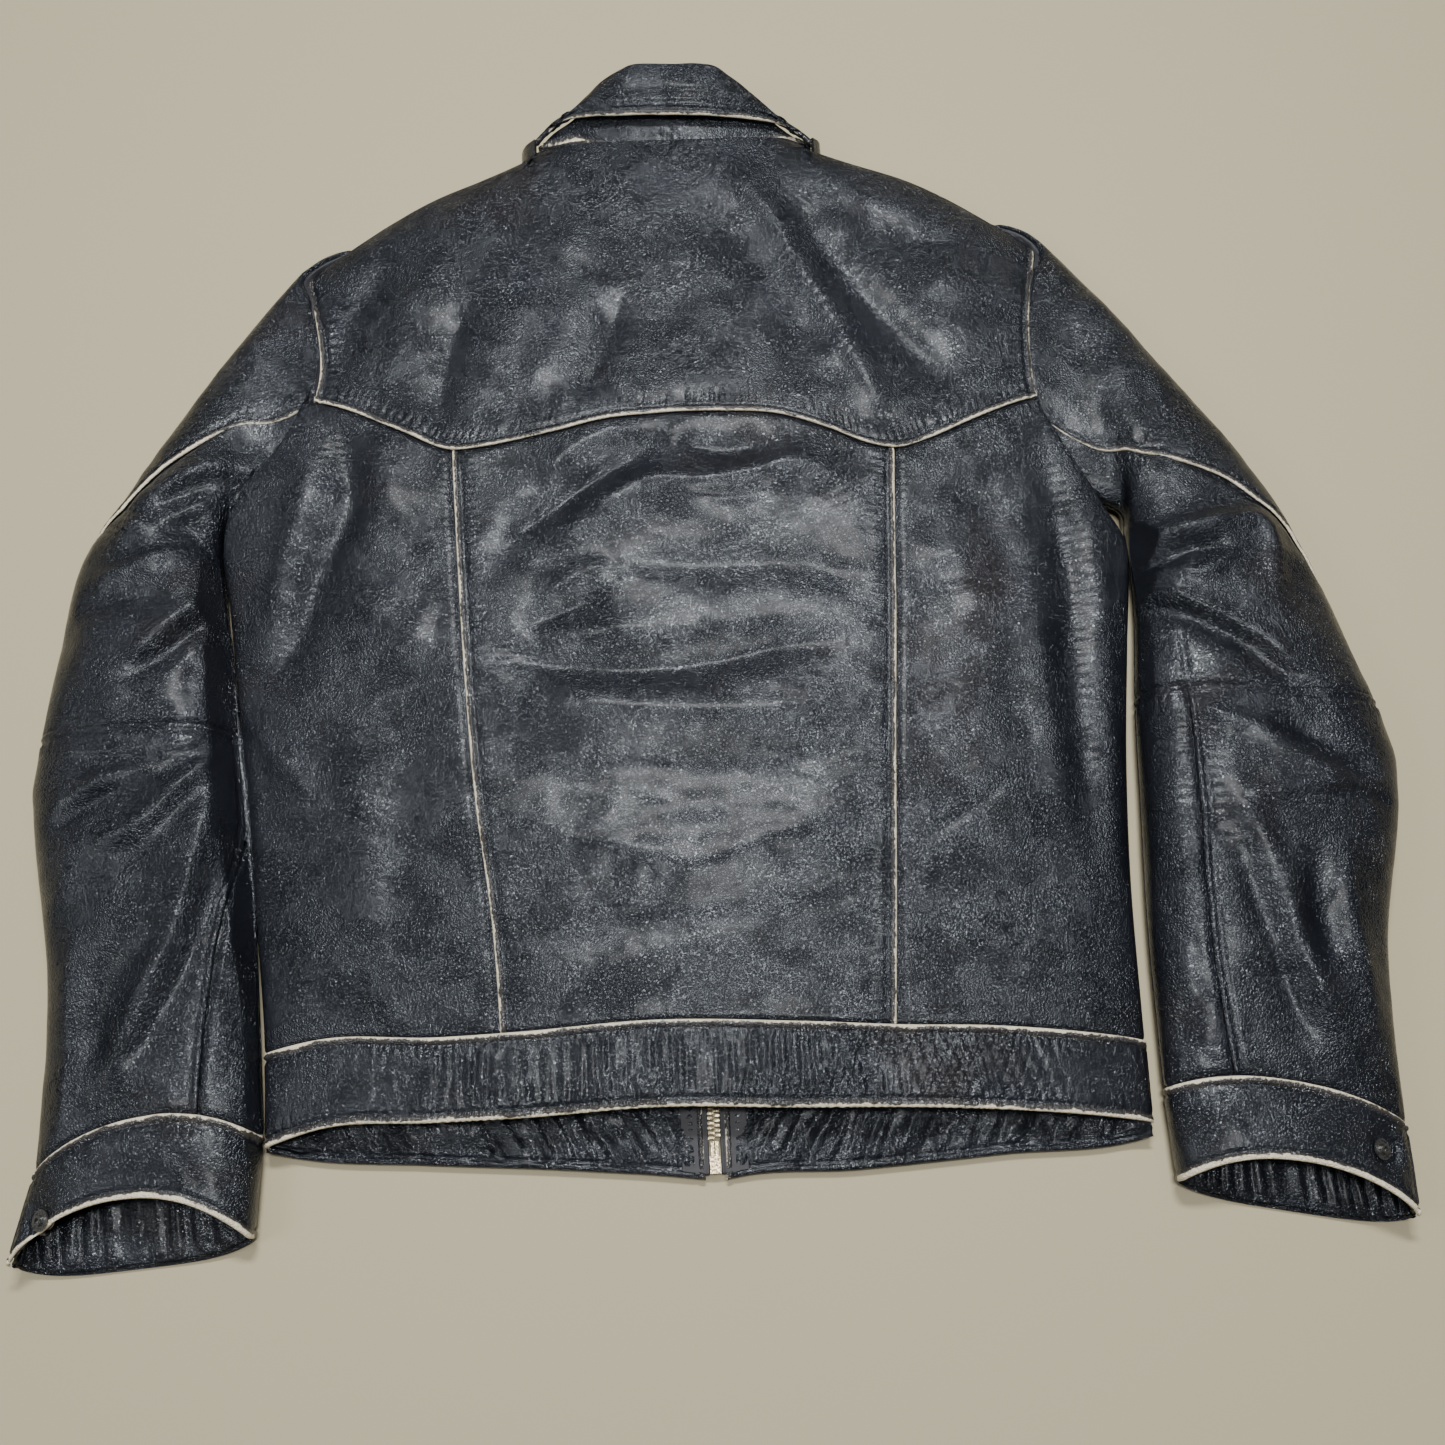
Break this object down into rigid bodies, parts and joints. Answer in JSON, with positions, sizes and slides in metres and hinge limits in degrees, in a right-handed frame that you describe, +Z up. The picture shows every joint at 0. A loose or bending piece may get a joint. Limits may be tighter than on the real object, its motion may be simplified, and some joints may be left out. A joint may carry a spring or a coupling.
{
  "type": "leather welding jacket",
  "caption": "Short zip-front leather jacket lying face down and zipped up: yoked back, turned-down collar, long sleeves with snap cuffs, waistband and lining.",
  "frame": {"origin": "on the plane that the fronts lie on, under the middle of the whole jacket as it lies", "axes": "+Z up, out of the jacket's back; +Y towards the collar, -Y towards the hem; +X to the wearer's right"},
  "size_m": [0.784, 0.748, 0.0553],
  "materials": {
    "shell_leather": "semi-gloss, fine grain, worn to pale hide along the seams",
    "facing_leather": "satin",
    "lining": "quilted cloth, slight sheen",
    "zip_tape": "matt woven tape",
    "zip_metal": "aged, satin",
    "snap_metal": "dulled nickel plate"
  },
  "bodies": {
    "torso": {"back_centre_panel": "shell_leather", "back_lining": "lining", "back_side_panel_left": "shell_leather", "back_side_panel_right": "shell_leather", "back_yoke": "shell_leather", "collar_leaf_left": "shell_leather", "collar_leaf_right": "shell_leather", "collar_stand": "shell_leather", "front_facing_left": "facing_leather", "front_facing_right": "facing_leather", "front_lining_left": "lining", "front_lining_right": "lining", "front_panel_left": "shell_leather", "front_panel_right": "shell_leather", "neck_facing": "facing_leather", "pocket_bag_left": "lining", "pocket_bag_right": "lining", "pocket_welt_left": "shell_leather", "pocket_welt_right": "shell_leather", "sleeve_lining_left": "lining", "sleeve_lining_right": "lining", "sleeve_over_left": "shell_leather", "sleeve_over_right": "shell_leather", "sleeve_rear_left": "shell_leather", "sleeve_rear_right": "shell_leather", "waistband_back": "shell_leather", "waistband_front_left": "shell_leather", "waistband_front_right": "shell_leather", "zip_insertion_pin": "zip_metal", "zip_retainer_box": "zip_metal", "zip_tape_left": "zip_tape", "zip_tape_right": "zip_tape", "zip_teeth_left": "zip_metal", "zip_teeth_right": "zip_metal", "zip_top_stops": "zip_metal"},
    "forearm_left": {"cuff_facing_left": "facing_leather", "cuff_left": "shell_leather", "forearm_back_left": "shell_leather", "forearm_front_left": "shell_leather", "forearm_lining_left": "lining", "forearm_under_left": "shell_leather", "snap_cap_left": "snap_metal", "snap_post_left": "snap_metal", "snap_socket_left": "snap_metal", "snap_stud_left": "snap_metal"},
    "forearm_right": {"cuff_facing_right": "facing_leather", "cuff_right": "shell_leather", "forearm_back_right": "shell_leather", "forearm_front_right": "shell_leather", "forearm_lining_right": "lining", "forearm_under_right": "shell_leather", "snap_cap_right": "snap_metal", "snap_post_right": "snap_metal", "snap_socket_right": "snap_metal", "snap_stud_right": "snap_metal"},
    "collar_fall": {"collar_fall": "shell_leather"},
    "hanger_loop": {"hanger_loop": "facing_leather"},
    "zip_slider": {"zip_slider": "zip_metal"},
    "zip_pull": {"zip_pull": "zip_metal"}
  },
  "joints": [
    {"name": "elbow_left", "type": "hinge", "parent": "torso", "child": "forearm_left", "pos_m": [-0.356, -0.074, 0.02], "axis": [0, 0, -1], "range_deg": [0, 25]},
    {"name": "elbow_right", "type": "hinge", "parent": "torso", "child": "forearm_right", "pos_m": [0.356, -0.074, 0.02], "axis": [0, 0, 1], "range_deg": [0, 25]},
    {"name": "collar_turn", "type": "hinge", "parent": "torso", "child": "collar_fall", "pos_m": [0, 0.374, 0.0527], "axis": [-1, 0, 0], "range_deg": [0, 110]},
    {"name": "loop_swing", "type": "hinge", "parent": "torso", "child": "hanger_loop", "pos_m": [0, 0.3095, 0.028], "axis": [1, 0, 0], "range_deg": [-30, 30]},
    {"name": "zip_slide", "type": "slide", "parent": "torso", "child": "zip_slider", "axis": [0, -1, 0], "range_m": [0, 0.552]},
    {"name": "pull_swing", "type": "hinge", "parent": "zip_slider", "child": "zip_pull", "pos_m": [0, 0.2335, 0.00125], "axis": [1, 0, 0], "range_deg": [0, 150]}
  ]
}
